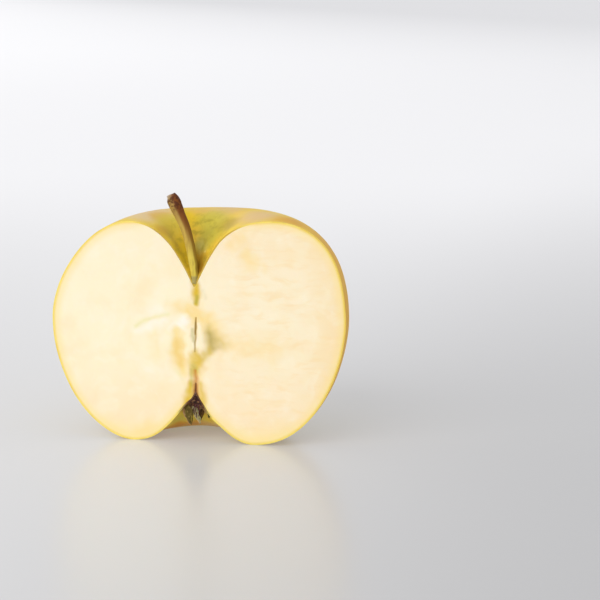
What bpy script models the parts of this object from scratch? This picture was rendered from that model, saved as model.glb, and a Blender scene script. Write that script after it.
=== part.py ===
"""Apple half: a yellow apple cut from stem to calyx, standing upright on its calyx end.

Metres, +Z up. The flat cut face is upright and looks along -Y, the rounded back looks along +Y,
and the floor is at zero height. Every piece is built in the core frame, whose upright axis is the
middle of the core in the cut plane, and hangs from one empty that stands on that axis.
"""

import math

import bmesh
import bpy
from mathutils import Vector
from mathutils.geometry import interpolate_bezier

# Where the core axis meets the floor, seen from the middle of the half's bounding box.
CORE_X = -0.0007
CUT_PLANE_Y = -0.0202

# Heights on the core axis.
STEM_PIT_HEIGHT = 0.0432
EYE_HEIGHT = 0.0124

# The outline of the apple on either side of the cut face. Radii are from the core axis, heights
# from the floor. A handle is how far a curve keeps its direction before it bends away.
RIGHT_OUTLINE = {
    "crown_radius": 0.0206,
    "crown_height": 0.0608,
    "girth_radius": 0.0406,
    "girth_height": 0.0342,
    "foot_radius": 0.0156,
    "pit_handle": 0.0094,
    "pit_flare": 0.50,
    "crown_inner_handle": 0.0134,
    "crown_outer_handle": 0.0147,
    "girth_upper_handle": 0.0151,
    "girth_lower_handle": 0.0118,
    "foot_outer_handle": 0.0173,
    "foot_inner_handle": 0.0061,
    "eye_handle": 0.0053,
    "eye_flare": 0.60,
}
LEFT_OUTLINE = {
    "crown_radius": 0.0176,
    "crown_height": 0.0601,
    "girth_radius": 0.0393,
    "girth_height": 0.0332,
    "foot_radius": 0.0174,
    "pit_handle": 0.0094,
    "pit_flare": 0.43,
    "crown_inner_handle": 0.0090,
    "crown_outer_handle": 0.0099,
    "girth_upper_handle": 0.0122,
    "girth_lower_handle": 0.0206,
    "foot_outer_handle": 0.0086,
    "foot_inner_handle": 0.0102,
    "eye_handle": 0.0050,
    "eye_flare": 1.25,
}

# How the back differs from a plain turn between those two outlines.
BACK_CROWN_RISE = 0.0015
BACK_CROWN_TILT = 0.0003
BACK_CROWN_INSET = 0.0016
BACK_GIRTH_SKEW = 0.0013
BACK_SHOULDER_SLACK = 0.0022
BACK_FOOT_REACH = 0.0032
BACK_BASIN_FULLNESS = 0.0050
RIB_COUNT = 5
RIB_HEIGHT = 0.0003

# The skin dips this far below the floor before it is pressed flat, which makes the standing spot.
FOOT_FLATTENING = 0.0003

# Mesh density of the apple's skin.
MERIDIANS = 80
ROWS_PER_ARC = 14
ARCS = 4

# The core where the knife opened it.
CORE_SLIT_CENTRE = (0.0002, -0.0001, 0.0299)
CORE_SLIT_HALF_SIZE = (0.00035, 0.0018, 0.0043)
SEED_CHAMBER_CENTRE = (0.0045, -0.0004, 0.0280)
SEED_CHAMBER_HALF_SIZE = (0.0013, 0.0014, 0.0027)

# The dry tube under the calyx, a cone with its tip up.
CALYX_TUBE_X = 0.0001
CALYX_TUBE_BEHIND_CUT = 0.0003
CALYX_TUBE_TIP = 0.0136
CALYX_TUBE_MOUTH = 0.0082
CALYX_TUBE_MOUTH_RADIUS = 0.0032
CALYX_TUBE_SEGMENTS = 32

# The stem from its root in the flesh to its broken end: place, then radius.
STEM_STATIONS = (
    (0.00015, 0.00050, 0.0389, 0.00035),
    (0.00010, 0.00060, 0.0420, 0.00080),
    (0.00004, 0.00080, 0.0452, 0.00095),
    (-0.0004, 0.00110, 0.0490, 0.00120),
    (-0.0014, 0.00130, 0.0545, 0.00125),
    (-0.0027, 0.00150, 0.0588, 0.00134),
    (-0.0041, 0.00170, 0.0620, 0.00150),
    (-0.0052, 0.00185, 0.0644, 0.00172),
    (-0.0059, 0.00200, 0.0660, 0.00168),
    (-0.0064, 0.00210, 0.0671, 0.00110),
)
STEM_ROOT_STATIONS = 4
STEM_ROUNDNESS = 4
TUBE_STEPS = 4
FIT_GAP = 0.0003
SOCKET_DEPTH = 0.0004

# Dried sepals round the mouth of the calyx tube: root place, length, width and the way the outer
# side faces in degrees from +X. Then, as shares of the length, how far the tip leans outwards and
# to the side, and how much the leaf curls.
SEPALS = (
    ((-0.0026, 0.0015, 0.0095), 0.0050, 0.0020, -90, 0.05, 0.18, -0.10),
    ((-0.0011, 0.0021, 0.0093), 0.0046, 0.0016, -90, 0.10, 0.38, -0.10),
    ((0.0010, 0.0026, 0.0086), 0.0026, 0.0014, -80, 0.10, -0.10, 0.10),
    ((0.0031, 0.0012, 0.0078), 0.0013, 0.0007, -90, 0.00, 0.25, 0.00),
)
SEPAL_THICKNESS = 0.0003
SEPAL_CUP = 0.18
SEPAL_ROWS = 9
SEPAL_COLUMNS = 5

# Dried stamens inside the tube: angle, distance from the axis at the top and at the bottom, and
# length.
STAMENS = (
    (130, 0.0007, 0.0012, 0.0030),
    (95, 0.0004, 0.0003, 0.0038),
    (60, 0.0009, 0.0013, 0.0028),
    (30, 0.0008, 0.0010, 0.0034),
)
STAMEN_TOP = 0.0106
STAMEN_RADIUS = 0.00016

SKIN_COLOUR = (0.70, 0.53, 0.06, 1.0)
FLESH_COLOUR = (0.95, 0.86, 0.62, 1.0)
STEM_COLOUR = (0.36, 0.22, 0.07, 1.0)
SEPAL_COLOUR = (0.16, 0.12, 0.06, 1.0)
STAMEN_COLOUR = (0.09, 0.045, 0.02, 1.0)


def clear_scene():
    for item in list(bpy.data.objects):
        bpy.data.objects.remove(item, do_unlink=True)


def new_collection(name):
    collection = bpy.data.collections.new(name)
    bpy.context.scene.collection.children.link(collection)
    return collection


def new_material(name, colour, roughness):
    material = bpy.data.materials.new(name)
    material.use_nodes = True
    shader = material.node_tree.nodes["Principled BSDF"]
    shader.inputs["Base Color"].default_value = colour
    shader.inputs["Roughness"].default_value = roughness
    shader.inputs["Metallic"].default_value = 0.0
    return material


def add_object(name, data, collection, parent, materials=()):
    item = bpy.data.objects.new(name, data)
    collection.objects.link(item)
    item.parent = parent
    for material in materials:
        data.materials.append(material)
    return item


def mesh_from(builder, name):
    """Turns a bmesh into mesh data and frees it."""
    data = bpy.data.meshes.new(name)
    builder.to_mesh(data)
    builder.free()
    return data


def shade_smooth(data, flat_slot=None):
    for face in data.polygons:
        face.use_smooth = face.material_index != flat_slot


def outline_at(angle):
    """The apple's outline at this angle round the core, from the right (0) to the left (pi)."""
    share = 0.5 + 0.5 * math.cos(angle)
    outline = {}
    for key, left in LEFT_OUTLINE.items():
        outline[key] = left + (RIGHT_OUTLINE[key] - left) * share
    back = math.sin(angle)
    skew = math.sin(2 * angle)
    rib = RIB_HEIGHT * math.sin(RIB_COUNT * angle)
    outline["crown_height"] += BACK_CROWN_RISE * back + BACK_CROWN_TILT * math.sin(3 * angle)
    outline["crown_radius"] -= BACK_CROWN_INSET * back
    outline["girth_radius"] += BACK_GIRTH_SKEW * skew + rib
    outline["crown_outer_handle"] -= BACK_SHOULDER_SLACK * back
    outline["girth_upper_handle"] -= BACK_SHOULDER_SLACK * back
    outline["foot_radius"] += BACK_FOOT_REACH * back + rib
    outline["foot_inner_handle"] += BACK_BASIN_FULLNESS * back
    return outline


def meridian_arcs(outline):
    """The four curves from the stem pit over crown and girth to the foot and up into the eye."""
    pit = Vector((0, STEM_PIT_HEIGHT))
    crown = Vector((outline["crown_radius"], outline["crown_height"]))
    girth = Vector((outline["girth_radius"], outline["girth_height"]))
    foot = Vector((outline["foot_radius"], -FOOT_FLATTENING))
    eye = Vector((0, EYE_HEIGHT))
    pit_way = Vector((math.sin(outline["pit_flare"]), math.cos(outline["pit_flare"])))
    eye_way = Vector((math.sin(outline["eye_flare"]), -math.cos(outline["eye_flare"])))
    out = Vector((1, 0))
    up = Vector((0, 1))
    return (
        (
            pit,
            pit + pit_way * outline["pit_handle"],
            crown - out * outline["crown_inner_handle"],
            crown,
        ),
        (
            crown,
            crown + out * outline["crown_outer_handle"],
            girth + up * outline["girth_upper_handle"],
            girth,
        ),
        (
            girth,
            girth - up * outline["girth_lower_handle"],
            foot + out * outline["foot_outer_handle"],
            foot,
        ),
        (
            foot,
            foot - out * outline["foot_inner_handle"],
            eye + eye_way * outline["eye_handle"],
            eye,
        ),
    )


def meridian(angle):
    """Points down the skin at this angle, one for each row of the sphere it is laid on."""
    points = []
    for start, start_handle, end_handle, end in meridian_arcs(outline_at(angle)):
        points += interpolate_bezier(start, start_handle, end_handle, end, ROWS_PER_ARC + 1)[:-1]
    points.append(Vector((0, EYE_HEIGHT)))
    return points


def cut_away(builder, point, normal):
    """Slices off what lies beyond this plane and closes the cut with one face."""
    cut = bmesh.ops.bisect_plane(
        builder,
        geom=builder.verts[:] + builder.edges[:] + builder.faces[:],
        plane_co=point,
        plane_no=normal,
        dist=1e-7,
        clear_outer=True,
    )
    rim = [item for item in cut["geom_cut"] if isinstance(item, bmesh.types.BMEdge)]
    return bmesh.ops.contextual_create(builder, geom=rim)["faces"]


def build_apple_half(collection, parent, skin, flesh):
    """A sphere laid on the apple's meridians and sliced through the core."""
    rows = ARCS * ROWS_PER_ARC
    builder = bmesh.new()
    bmesh.ops.create_uvsphere(builder, u_segments=MERIDIANS, v_segments=rows, radius=1.0)
    meridians = {}
    for vert in builder.verts:
        step = round(math.atan2(vert.co.y, vert.co.x) / math.tau * MERIDIANS)
        angle = step * math.tau / MERIDIANS
        if step not in meridians:
            meridians[step] = meridian(angle)
        height = max(-1.0, min(1.0, vert.co.z))
        radius, level = meridians[step][round(math.acos(height) / math.pi * rows)]
        vert.co = (radius * math.cos(angle), radius * math.sin(angle), max(level, 0.0))
    for face in builder.faces:
        face.material_index = 1
    for face in cut_away(builder, (0, 0, 0), (0, -1, 0)):
        face.material_index = 0
    data = mesh_from(builder, "apple_half")
    shade_smooth(data, flat_slot=0)
    return add_object("apple_half", data, collection, parent, (flesh, skin))


def tube_mesh(name, stations, roundness):
    """A closed tube through places and radii, made as a bevelled curve and turned into a mesh."""
    curve = bpy.data.curves.new(name, "CURVE")
    curve.dimensions = "3D"
    curve.bevel_depth = 1.0
    curve.bevel_resolution = roundness
    curve.resolution_u = TUBE_STEPS
    curve.use_fill_caps = True
    spline = curve.splines.new("BEZIER")
    spline.bezier_points.add(len(stations) - 1)
    for point, (x, y, z, radius) in zip(spline.bezier_points, stations):
        point.co = (x, y, z)
        point.radius = radius
        point.handle_left_type = "AUTO"
        point.handle_right_type = "AUTO"
    path = bpy.data.objects.new(name + "_path", curve)
    bpy.context.scene.collection.objects.link(path)
    bpy.context.view_layer.update()
    data = bpy.data.meshes.new_from_object(path.evaluated_get(bpy.context.evaluated_depsgraph_get()))
    bpy.data.objects.remove(path, do_unlink=True)
    bpy.data.curves.remove(curve)
    builder = bmesh.new()
    builder.from_mesh(data)
    bpy.data.meshes.remove(data)
    bmesh.ops.remove_doubles(builder, verts=builder.verts[:], dist=1e-6)
    bmesh.ops.recalc_face_normals(builder, faces=builder.faces[:])
    return builder


def build_stem(collection, parent, material):
    """The stem, with the side of its root that the knife took off left flat."""
    builder = tube_mesh("stem", STEM_STATIONS, STEM_ROUNDNESS)
    cut_away(builder, (0, 0, 0), (0, -1, 0))
    data = mesh_from(builder, "stem")
    shade_smooth(data)
    return add_object("stem", data, collection, parent, (material,))


def sepal_half_width(along):
    """Half the width of a sepal against its width: a narrow root, a belly and a pointed tip."""
    belly = math.sin(math.pi * along**0.75)
    return 0.5 * (0.16 + 0.84 * belly) * (1.0 - 0.25 * along)


def build_sepal(name, place, collection, parent, material):
    """A small dried leaf that hangs from the rim of the calyx tube and curls as it goes down."""
    root, length, width, degrees, lean, sway, curl = place
    builder = bmesh.new()
    bmesh.ops.create_grid(builder, x_segments=SEPAL_COLUMNS, y_segments=SEPAL_ROWS, size=1.0)
    for vert in builder.verts:
        across = vert.co.x
        along = 0.5 - 0.5 * vert.co.y
        half_width = sepal_half_width(along) * width
        outward = lean * along + curl * along**2
        outward -= SEPAL_CUP * half_width / length * across**2
        aside = length * sway * along + half_width * across
        vert.co = (length * outward, aside, -length * along)
    bmesh.ops.triangulate(builder, faces=builder.faces[:])
    data = mesh_from(builder, name)
    shade_smooth(data)
    sepal = add_object(name, data, collection, parent, (material,))
    sepal.location = root
    sepal.rotation_euler = (0, 0, math.radians(degrees))
    thickness = sepal.modifiers.new("leaf thickness", "SOLIDIFY")
    thickness.thickness = SEPAL_THICKNESS
    thickness.offset = 0.0
    return sepal


def build_stamen(name, place, collection, parent, material):
    degrees, top_distance, bottom_distance, length = place
    angle = math.radians(degrees)
    stations = []
    for share in (0.0, 0.5, 1.0):
        distance = top_distance + (bottom_distance - top_distance) * share**2
        stations.append(
            (
                distance * math.cos(angle),
                distance * math.sin(angle),
                STAMEN_TOP - length * share,
                STAMEN_RADIUS,
            )
        )
    data = mesh_from(tube_mesh(name, stations, 1), name)
    shade_smooth(data)
    return add_object(name, data, collection, parent, (material,))


def cut_from(target, cutter):
    """Takes the cutter's shape out of the target and keeps the cutter as a hidden wire."""
    cutter.display_type = "WIRE"
    cutter.hide_render = True
    cut = target.modifiers.new(cutter.name, "BOOLEAN")
    cut.operation = "DIFFERENCE"
    cut.solver = "EXACT"
    cut.object = cutter


def egg_cutter(name, centre, half_size, collection, parent):
    builder = bmesh.new()
    bmesh.ops.create_uvsphere(builder, u_segments=24, v_segments=16, radius=1.0)
    bmesh.ops.scale(builder, vec=half_size, verts=builder.verts[:])
    cutter = add_object(name, mesh_from(builder, name), collection, parent)
    cutter.location = centre
    return cutter


def calyx_tube_cutter(collection, parent):
    builder = bmesh.new()
    depth = CALYX_TUBE_TIP - CALYX_TUBE_MOUTH
    bmesh.ops.create_cone(
        builder,
        cap_ends=True,
        segments=CALYX_TUBE_SEGMENTS,
        radius1=CALYX_TUBE_MOUTH_RADIUS,
        radius2=0.0,
        depth=depth,
    )
    cutter = add_object("calyx_tube", mesh_from(builder, "calyx_tube"), collection, parent)
    cutter.location = (CALYX_TUBE_X, CALYX_TUBE_BEHIND_CUT, CALYX_TUBE_MOUTH + depth / 2)
    return cutter


def stem_socket_cutter(collection, parent):
    """The stem's root, wider and deeper by the fit gap."""
    stations = []
    for x, y, z, radius in STEM_STATIONS[:STEM_ROOT_STATIONS]:
        stations.append((x, y, z, radius + FIT_GAP))
    x, y, z, radius = stations[0]
    stations[0] = (x, y, z - SOCKET_DEPTH, radius)
    data = mesh_from(tube_mesh("stem_socket", stations, STEM_ROUNDNESS), "stem_socket")
    return add_object("stem_socket", data, collection, parent)


def build():
    clear_scene()
    pieces = new_collection("apple half")
    cutters = new_collection("cutters")
    core = bpy.data.objects.new("core_axis", None)
    pieces.objects.link(core)
    core.location = (CORE_X, CUT_PLANE_Y, 0)

    skin = new_material("apple skin", SKIN_COLOUR, 0.35)
    flesh = new_material("apple flesh", FLESH_COLOUR, 0.45)
    wood = new_material("apple stem", STEM_COLOUR, 0.70)
    dried_leaf = new_material("dried sepal", SEPAL_COLOUR, 0.80)
    dried_thread = new_material("dried stamen", STAMEN_COLOUR, 0.80)

    apple = build_apple_half(pieces, core, skin, flesh)
    slit = egg_cutter("core_slit", CORE_SLIT_CENTRE, CORE_SLIT_HALF_SIZE, cutters, core)
    chamber = egg_cutter(
        "seed_chamber", SEED_CHAMBER_CENTRE, SEED_CHAMBER_HALF_SIZE, cutters, core
    )
    cut_from(apple, slit)
    cut_from(apple, chamber)
    cut_from(apple, calyx_tube_cutter(cutters, core))
    cut_from(apple, stem_socket_cutter(cutters, core))

    build_stem(pieces, core, wood)
    for number, place in enumerate(SEPALS, start=1):
        build_sepal(f"sepal_{number}", place, pieces, core, dried_leaf)
    for number, place in enumerate(STAMENS, start=1):
        build_stamen(f"stamen_{number}", place, pieces, core, dried_thread)


build()
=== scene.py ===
"""Looks of the apple half: skin, cut flesh, stem and dried calyx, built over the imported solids.

Lengths are millimetres in the core frame, whose upright axis is the middle of the core in the cut
plane, with the floor at zero height. Meshes are moved to the part's own frame, in metres, when
they are made.
"""

import math

import bmesh
import bpy
import numpy as np
from mathutils import Matrix, Vector, kdtree, noise
from mathutils.geometry import interpolate_bezier


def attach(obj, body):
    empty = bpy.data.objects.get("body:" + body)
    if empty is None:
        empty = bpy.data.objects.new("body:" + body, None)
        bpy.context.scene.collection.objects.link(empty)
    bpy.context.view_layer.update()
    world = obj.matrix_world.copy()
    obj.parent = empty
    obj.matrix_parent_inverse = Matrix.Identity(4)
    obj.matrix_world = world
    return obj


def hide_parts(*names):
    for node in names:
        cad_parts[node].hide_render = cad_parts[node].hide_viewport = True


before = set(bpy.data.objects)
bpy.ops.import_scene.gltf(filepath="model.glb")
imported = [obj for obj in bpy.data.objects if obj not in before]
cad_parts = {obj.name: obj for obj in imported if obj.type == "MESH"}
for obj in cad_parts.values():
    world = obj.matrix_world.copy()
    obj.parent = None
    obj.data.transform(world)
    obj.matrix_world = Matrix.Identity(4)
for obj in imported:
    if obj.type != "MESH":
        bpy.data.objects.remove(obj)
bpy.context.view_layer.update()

METRES_PER_MM = 0.001

# Where the core axis stands in the part's frame.
CORE_PLACE = np.array((-0.7, -20.2, 0.0))

# The view of the cut face: angles in degrees, then how far the camera stands from the middle of
# the core, and how far to the right of it and above it the camera aims.
CORE_MIDDLE = (0.0, 0.0, 34.0)
VIEW_AZIMUTH = 13.0
VIEW_ELEVATION = 12.0
VIEW_DISTANCE = 420.0
AIM_RIGHT = 28.22
AIM_UP = 4.79
LENS_LENGTH = 94.4
SENSOR_WIDTH = 36.0

# The apple's outline on either side of the cut face. Radii are from the core axis, heights from
# the floor. A handle is how far a curve keeps its direction before it bends away. Each value
# stands twice, for the right lobe and for the left one.
STEM_PIT_HEIGHT = 43.2
EYE_HEIGHT = 12.4
OUTLINE = {
    "crown_radius": (20.6, 17.6),
    "crown_height": (60.8, 60.1),
    "girth_radius": (40.6, 39.3),
    "girth_height": (34.2, 33.2),
    "foot_radius": (15.6, 17.4),
    "pit_handle": (9.4, 9.4),
    "pit_flare": (0.50, 0.43),
    "crown_inner_handle": (13.4, 9.0),
    "crown_outer_handle": (14.7, 9.9),
    "girth_upper_handle": (15.1, 12.2),
    "girth_lower_handle": (11.8, 20.6),
    "foot_outer_handle": (17.3, 8.6),
    "foot_inner_handle": (6.1, 10.2),
    "eye_handle": (5.3, 5.0),
    "eye_flare": (0.60, 1.25),
}

# How the back differs from a plain turn between those two outlines.
BACK_CROWN_RISE = 1.5
BACK_CROWN_TILT = 0.3
BACK_CROWN_INSET = 1.6
BACK_GIRTH_SKEW = 1.3
BACK_SHOULDER_SLACK = 2.2
BACK_FOOT_REACH = 3.2
BACK_BASIN_FULLNESS = 5.0
RIB_COUNT = 5
RIB_HEIGHT = 0.3

# The dry tube that runs up from the calyx, a cone with its tip up.
CALYX_TUBE_TIP = 13.6
CALYX_TUBE_MOUTH = 8.2
CALYX_TUBE_MOUTH_RADIUS = 3.2

# Density of the dressed mesh: meridians, rows in each arc of a meridian from the stem pit to the
# eye, and rings on the cut face.
MERIDIAN_STEPS = 150
ARC_ROWS = (60, 36, 40, 64)
FIRST_RING_SHARE = 0.002
WIDEST_RING_SHARE = 0.0095
RING_GROWTH = 1.05

# Skin relief: broad swells, small dimples, and creases that run into the stem pit and the calyx.
# The relief fades out near the floor, so that the feet stay on it, and near the core axis.
SWELL_HEIGHT = 0.16
SWELL_LENGTH = 11.0
DIMPLE_HEIGHT = 0.025
DIMPLE_LENGTH = 1.6
CREASE_HEIGHT = 0.14
CREASE_COUNT = 9
CREASE_RADIUS = 6.5
CREASE_REACH = 3.2
CREASE_FREE_HEIGHT = 28.8
CREASE_FREE_REACH = 12.4
CREASE_BEND = 2.0
CREASE_BEND_LENGTH = 6.0
CORE_CALM_RADIUS = 3.0
CALM_HEIGHT = 4.0

# How far in from the skin the first rings of the cut face lie. The first is the skin's edge.
RIM_OFFSETS = (0.35, 0.8, 1.5)
RING_MIDDLE = (0.17, 29.9)

# Rays of the cut face that start together at the stem pit, and as many at the eye.
CORNER_RAYS = 21

# Unevenness of the cut face: long waves from the knife, and the grain of the cells.
KNIFE_WAVE_DEPTH = 0.05
KNIFE_WAVE_LENGTH = 13.0
FLESH_GRAIN_DEPTH = 0.010
FLESH_GRAIN_LENGTH = 0.7

# The tissues that the knife opened: name, colour, how deep it lies in the cut face (or, where
# negative, how far it stands proud), then its strokes. A stroke is how strong it is, and its
# path as points: x, z and the half width there.
# Some of these are painted shade in hollows, where marked below.
TISSUES = (
    ("warm_flesh", "#F6DA94", 0.0, (
        (0.60, ((-7.4, 37.6, 2.4), (-3.9, 37.0, 4.0), (-1.6, 36.6, 4.6))),
        (0.85, ((-1.6, 36.4, 4.4), (0.4, 34.8, 5.2), (2.9, 33.8, 4.6))),
        (0.45, ((-0.8, 33.4, 2.6), (0.6, 31.8, 3.4), (1.6, 30.0, 3.0))),
        (0.65, ((2.6, 34.9, 3.8), (4.6, 32.6, 5.4), (6.2, 29.0, 5.6))),
        (0.45, ((8.0, 28.0, 5.0), (19.5, 26.8, 8.0))),
        (0.60, ((14.2, 52.2, 3.0), (15.4, 49.6, 4.4))),
        (0.50, ((10.0, 54.4, 3.4), (12.8, 56.4, 4.0))),
        (0.40, ((19.0, 49.6, 1.4), (18.9, 47.5, 1.6))),
        (0.55, ((0.0, 22.0, 4.6), (0.0, 14.0, 4.0))),
        (0.50, ((-16.0, 2.4, 3.0), (-12.4, 4.2, 4.0))),
        (0.38, ((-11.0, 28.8, 3.6), (-10.6, 24.6, 4.4))),
    )),
    ("dry_pale_flesh", "#FCF4E6", -0.02, (
        (0.50, ((-12.2, 35.5, 3.4), (-10.1, 36.2, 4.4), (-7.6, 37.2, 3.4))),
        (0.55, ((-16.4, 30.2, 2.0), (-13.2, 31.8, 3.0))),
        (0.60, ((-13.2, 31.8, 3.0), (-10.8, 32.5, 3.0), (-8.4, 33.3, 2.6))),
        (0.85, ((-5.7, 31.5, 2.4), (-4.2, 32.4, 3.2), (-2.9, 33.8, 2.4))),
        (0.35, ((-12.0, 19.6, 4.0), (-6.2, 18.8, 5.0))),
        (0.30, ((-8.0, 45.0, 3.4), (-9.5, 41.0, 4.0))),
    )),
    ("core_line_strand", "#E8DF9C", -0.02, (
        (0.20, ((-18.3, 27.2, 1.0), (-17.4, 29.6, 1.2), (-16.2, 31.5, 1.2))),
        (0.58, ((-16.2, 31.6, 1.0), (-15.2, 32.3, 1.3), (-13.6, 33.3, 1.4), (-12.2, 33.7, 1.2))),
        (0.48, ((-12.2, 33.7, 1.2), (-10.6, 34.4, 1.2), (-9.0, 34.9, 1.3), (-7.2, 35.3, 1.2))),
        (0.22, ((-7.6, 35.3, 1.0), (-7.8, 37.4, 1.2), (-7.3, 39.9, 1.0))),
        (0.32, ((-5.6, 20.2, 1.2), (-4.2, 18.3, 1.4), (-3.0, 16.0, 1.4), (-2.2, 14.2, 1.2))),
    )),
    ("grazed_seed_chamber", "#F4DC94", 0.08, (
        (0.75, ((-5.2, 31.0, 2.2), (-4.6, 28.4, 4.2), (-4.3, 25.6, 4.6))),
        (0.75, ((-4.3, 25.6, 4.6), (-4.3, 22.6, 3.6), (-3.2, 19.2, 2.0))),
        (0.70, ((-2.1, 23.6, 2.4), (-0.7, 22.5, 2.6))),
    )),
    ("amber_flesh", "#EFCB74", 0.03, (
        (0.62, ((-5.0, 27.6, 2.2), (-4.9, 24.8, 3.6), (-4.0, 21.6, 2.4))),
        (0.40, ((-3.9, 28.4, 1.8), (-3.3, 26.0, 2.0))),
    )),
    ("seed_chamber", "#DEC474", 0.20, (
        (0.75, ((3.9, 31.6, 2.2), (4.6, 29.2, 3.8), (4.4, 27.2, 3.8), (3.8, 25.2, 2.4))),
        (0.62, ((5.0, 29.8, 3.4), (6.4, 28.2, 4.2), (7.8, 27.2, 3.4))),
        (0.55, ((4.0, 26.2, 2.0), (2.7, 24.2, 2.4), (1.6, 22.8, 2.4))),
    )),
    ("parchment", "#FCEDCC", -0.03, (
        (0.75, ((-1.5, 30.6, 1.0), (-1.9, 27.4, 1.5), (-2.1, 23.9, 1.4))),
        (0.85, ((1.0, 32.6, 0.8), (1.4, 29.8, 1.4), (1.6, 27.4, 1.5), (1.4, 25.2, 1.0))),
    )),
    # Painted shade in the hollow of the right seed chamber.
    ("shaded_chamber_wall", "#A6944E", 0.10, (
        (0.56, ((4.0, 30.2, 2.0), (4.5, 28.0, 3.2), (5.0, 26.6, 2.8))),
        (0.38, ((5.2, 27.4, 2.4), (6.4, 26.6, 2.2))),
    )),
    ("pith", "#DCBA34", 0.05, (
        (0.42, ((3.8, 25.8, 2.4), (2.8, 24.0, 3.4), (1.6, 22.6, 3.6), (0.6, 21.0, 2.6))),
        (0.72, ((0.3, 25.0, 2.0), (0.5, 22.6, 4.2), (0.1, 20.0, 2.8))),
        (1.00, ((0.2, 44.2, 1.7), (0.6, 41.6, 1.9), (0.7, 40.0, 1.8), (0.55, 38.2, 1.3))),
        (0.85, ((-1.2, 16.4, 1.6), (-1.7, 13.6, 2.4), (-2.3, 11.0, 2.2))),
        (0.65, ((1.3, 16.4, 1.6), (1.7, 13.6, 2.3), (2.0, 11.0, 2.0))),
    )),
    ("green_strand", "#AEA64A", 0.0, (
        (0.60, ((0.75, 40.2, 1.0), (0.6, 38.6, 1.3))),
        (0.50, ((-0.6, 31.2, 0.8), (-0.7, 29.6, 1.2), (-0.5, 28.0, 0.8))),
        (0.45, ((-0.7, 21.4, 1.5), (0.1, 20.2, 1.6))),
        (0.45, ((-0.9, 20.2, 1.4), (-0.9, 16.0, 1.4))),
        (0.22, ((3.8, 25.6, 2.0), (2.2, 23.2, 2.0))),
        (0.25, ((2.4, 42.0, 1.2), (2.9, 39.8, 1.3))),
    )),
    # Painted shade: the slit's dark colour stands for the shade inside the narrow gap of the core.
    ("slit", "#A8862E", 0.12, (
        (0.95, ((0.42, 34.4, 0.40), (0.25, 31.6, 0.60), (0.18, 29.9, 0.60))),
        (0.75, ((0.18, 29.9, 0.60), (0.05, 27.6, 0.55), (0.0, 25.2, 0.35))),
    )),
    ("tan_tube_wall", "#C98732", 0.15, (
        (0.75, ((0.0, 20.0, 0.70), (0.2, 17.6, 1.10), (0.1, 16.0, 1.20))),
        (0.95, ((0.1, 16.0, 1.20), (0.0, 14.2, 1.30), (0.0, 12.4, 1.50))),
    )),
    ("dead_tube_wall_and_slit_shade", "#5A2C10", 0.10, (
        (0.85, ((0.10, 16.4, 0.36), (0.0, 14.8, 0.60), (0.0, 12.6, 1.00))),
        # Painted shade: a dark line down the upper part of the slit.
        (0.40, ((0.32, 33.2, 0.30), (0.2, 30.2, 0.34))),
    )),
)
STROKE_SOFT_SHARE = 0.95
STROKE_WAVER_LENGTH = 2.0
STROKE_WAVER_SHARE = 0.28
STROKE_WAVER_SHIFT = 50.0

# The stem from its root in the flesh to its broken end: x, y, z, radius.
STEM_STATIONS = (
    (0.15, 0.50, 38.9, 0.35),
    (0.10, 0.60, 42.0, 0.80),
    (0.04, 0.80, 45.2, 0.95),
    (-0.4, 1.10, 49.0, 1.20),
    (-1.4, 1.30, 54.5, 1.25),
    (-2.7, 1.50, 58.8, 1.34),
    (-4.1, 1.70, 62.0, 1.50),
    (-5.2, 1.85, 64.4, 1.72),
    (-5.9, 2.00, 66.0, 1.68),
    (-6.4, 2.10, 67.1, 1.10),
)
STEM_ROUNDNESS = 14
STEM_TUBE_STEPS = 14
# Ridges along it, then knobs from this height up, full after the run, with warts on them.
STEM_RIDGE_HEIGHT = 0.09
STEM_RIDGE_LENGTH = 0.55
STEM_RIDGE_STRETCH = 0.12
STEM_KNOB_START = 63.0
STEM_KNOB_RUN = 3.0
STEM_KNOB_HEIGHT = 0.26
STEM_KNOB_LENGTH = 1.3
STEM_WART_SHARE = 0.4
STEM_WART_LENGTH = 0.45
STEM_BREAK_SHARE = 0.5
STEM_BREAK_LENGTH = 0.8
# The middle of the broken end, seen from the last station, and how far its pale wood reaches.
STEM_END_SHIFT = (-1.0, 0.0, -0.2)
STEM_END_REACH = 2.4
# The root lies behind the cut face, and comes out of the flesh between these heights.
STEM_ROOT_HEIGHTS = (43.1, 43.6, 45.5)
STEM_ROOT_DEPTHS = (0.42, 0.05, -1.5)

# Dried sepals: root place, length, width and the way the outer side faces in degrees from +X.
# Then, as shares of the length, how far the tip leans outwards and to the side, and how much the
# leaf curls.
SEPALS = (
    ((-2.9, 1.4, 9.9), 5.4, 3.0, -90, 0.05, 0.20, -0.10),
    ((-1.1, 2.1, 9.5), 4.8, 2.0, -90, 0.10, 0.38, -0.10),
    ((1.0, 3.0, 8.6), 3.0, 1.7, -80, 0.10, -0.10, 0.10),
    ((3.1, 1.2, 7.9), 1.4, 0.8, -90, 0.00, 0.25, 0.00),
)
# The sepals' materials: name, then the colours of the leaf, of the down and of the left edge.
SEPAL_LOOKS = (
    ("apple sepal, dried olive", "#5E5020", "#8A7640", "#C89C72"),
    ("apple sepal, dried and downy", "#9C9468", "#B4B08C", "#D6B896"),
    ("apple sepal, dried brown", "#5E4420", "#463010", "#7A5A34"),
    ("apple sepal, dried dark", "#3E3A12", "#55501C", "#3A3410"),
)
# Tears in a sepal: how far across it (-1 to 1) and from what share of its length to the tip.
SEPAL_TEARS = {1: ((0.6, 0.5), (-0.3, 0.8)), 2: ((-0.45, 0.35), (0.35, 0.20)), 3: ((0.1, 0.6),), 4: ()}
# A sepal's outline: how wide its root is, how low its belly sits and how it tapers to the tip.
SEPAL_ROOT_SHARE = 0.30
SEPAL_BELLY_POWER = 0.75
SEPAL_TAPER = 0.25
SEPAL_THICKNESS = 0.16
SEPAL_CUP = 0.18
SEPAL_RIPPLE = 0.30
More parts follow.
